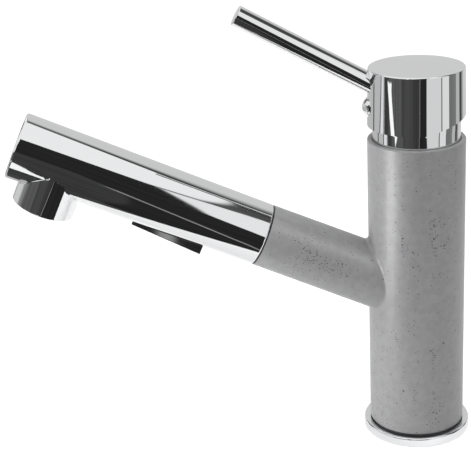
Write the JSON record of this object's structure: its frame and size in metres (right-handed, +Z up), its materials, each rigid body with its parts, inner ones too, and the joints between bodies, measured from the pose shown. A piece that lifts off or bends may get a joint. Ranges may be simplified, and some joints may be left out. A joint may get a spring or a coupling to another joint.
{
  "type": "pull-out mixer tap",
  "caption": "Single-lever kitchen mixer tap: granite-look column with a slanting stub, chromed pull-out spray handset with a rocker button, chromed cap and rod lever.",
  "frame": {"origin": "centre of the base ring's underside, on the worktop and on the column's axis", "axes": "+Z up along the column, -Y the way the spout and the lever point, +X to the right of someone facing +Y at the sink"},
  "size_m": [0.052, 0.2178, 0.216],
  "materials": {
    "chrome": "polished chrome plate",
    "granite_paint": "matt grey powder coat with fine dark speckles, like granite",
    "black_rubber": "moulded seal",
    "brass": "machined",
    "black_acetal": "moulded slide bearing",
    "copper_pipe": "drawn copper tube",
    "white_plastic": "moulded",
    "ceramic_white": "lapped ceramic",
    "ceramic_dark": "lapped ceramic",
    "blue_plastic": "moulded",
    "steel": "stainless, bright",
    "hose_braid": "rubber hose in a grey braid",
    "grey_plastic": "moulded",
    "soft_grey": "soft silicone"
  },
  "bodies": {
    "base": {"base_ring": "chrome", "base_seal": "black_rubber", "foot": "brass", "lower_slide_ring": "black_acetal", "upper_slide_ring": "black_acetal", "column_head": "brass", "cold_pipe": "copper_pipe", "mixed_pipe": "copper_pipe", "hot_pipe": "copper_pipe", "cartridge_seals": "black_rubber", "cartridge_base": "white_plastic", "fixed_disc": "ceramic_white", "cartridge_housing": "white_plastic", "cartridge_nut": "brass", "neck_ring": "chrome"},
    "turret": {"turret": "white_plastic", "pivot_pin": "steel"},
    "disc": {"moving_disc": "ceramic_dark", "disc_carrier": "blue_plastic"},
    "lever": {"spindle": "steel", "lever_cap": "chrome", "lever_rod": "chrome", "grub_screw": "steel", "index_plug": "chrome"},
    "spout": {"spout_shell": "granite_paint", "stop_screw": "steel", "guide_bush": "black_acetal"},
    "handset": {"pullout_hose": "hose_braid", "handset_shell": "chrome", "handset_tail": "white_plastic", "hose_fitting": "brass", "hose_washer": "black_rubber", "check_valve": "white_plastic", "waterway": "grey_plastic", "button_pin": "steel", "diverter_spring": "steel", "nozzle_chamber": "grey_plastic", "spray_nozzles": "soft_grey", "spray_plate": "chrome", "aerator_housing": "grey_plastic", "aerator_screen": "grey_plastic"},
    "button": {"spray_button": "chrome"},
    "spool": {"diverter_spool": "grey_plastic"}
  },
  "joints": [
    {"name": "spout_swivel", "type": "hinge", "parent": "base", "child": "spout", "pos_m": [0, 0, 0.0723], "axis": [0, 0, 1], "range_deg": [-60, 60]},
    {"name": "lever_turn", "type": "hinge", "parent": "base", "child": "turret", "pos_m": [0, 0, 0.156], "axis": [0, 0, 1], "range_deg": [-45, 45]},
    {"name": "lever_lift", "type": "hinge", "parent": "turret", "child": "lever", "pos_m": [0, 0, 0.156], "axis": [-1, 0, 0], "range_deg": [0, 25]},
    {"name": "disc_slide", "type": "slide", "parent": "turret", "child": "disc", "axis": [0, -1, 0], "range_m": [0, 0.0052]},
    {"name": "handset_pull", "type": "slide", "parent": "spout", "child": "handset", "axis": [0, -0.9095, 0.4156], "range_m": [0, 0.5], "deforming": ["pullout_hose"]},
    {"name": "spray_rock", "type": "hinge", "parent": "handset", "child": "button", "pos_m": [0, -0.13021, 0.12059], "axis": [1, 0, 0], "range_deg": [0, 4.5], "stiffness_Nm_per_rad": 1.2, "springref_deg": -4.58},
    {"name": "spool_slide", "type": "slide", "parent": "handset", "child": "spool", "axis": [0, 0.4156, 0.9095], "range_m": [0, 0.0021], "deforming": ["diverter_spring"]}
  ],
  "couplings": [
    {"joint": "disc_slide", "follows": "lever_lift", "m_per_rad": 0.011905},
    {"joint": "spool_slide", "follows": "spray_rock", "m_per_rad": 0.0265}
  ]
}
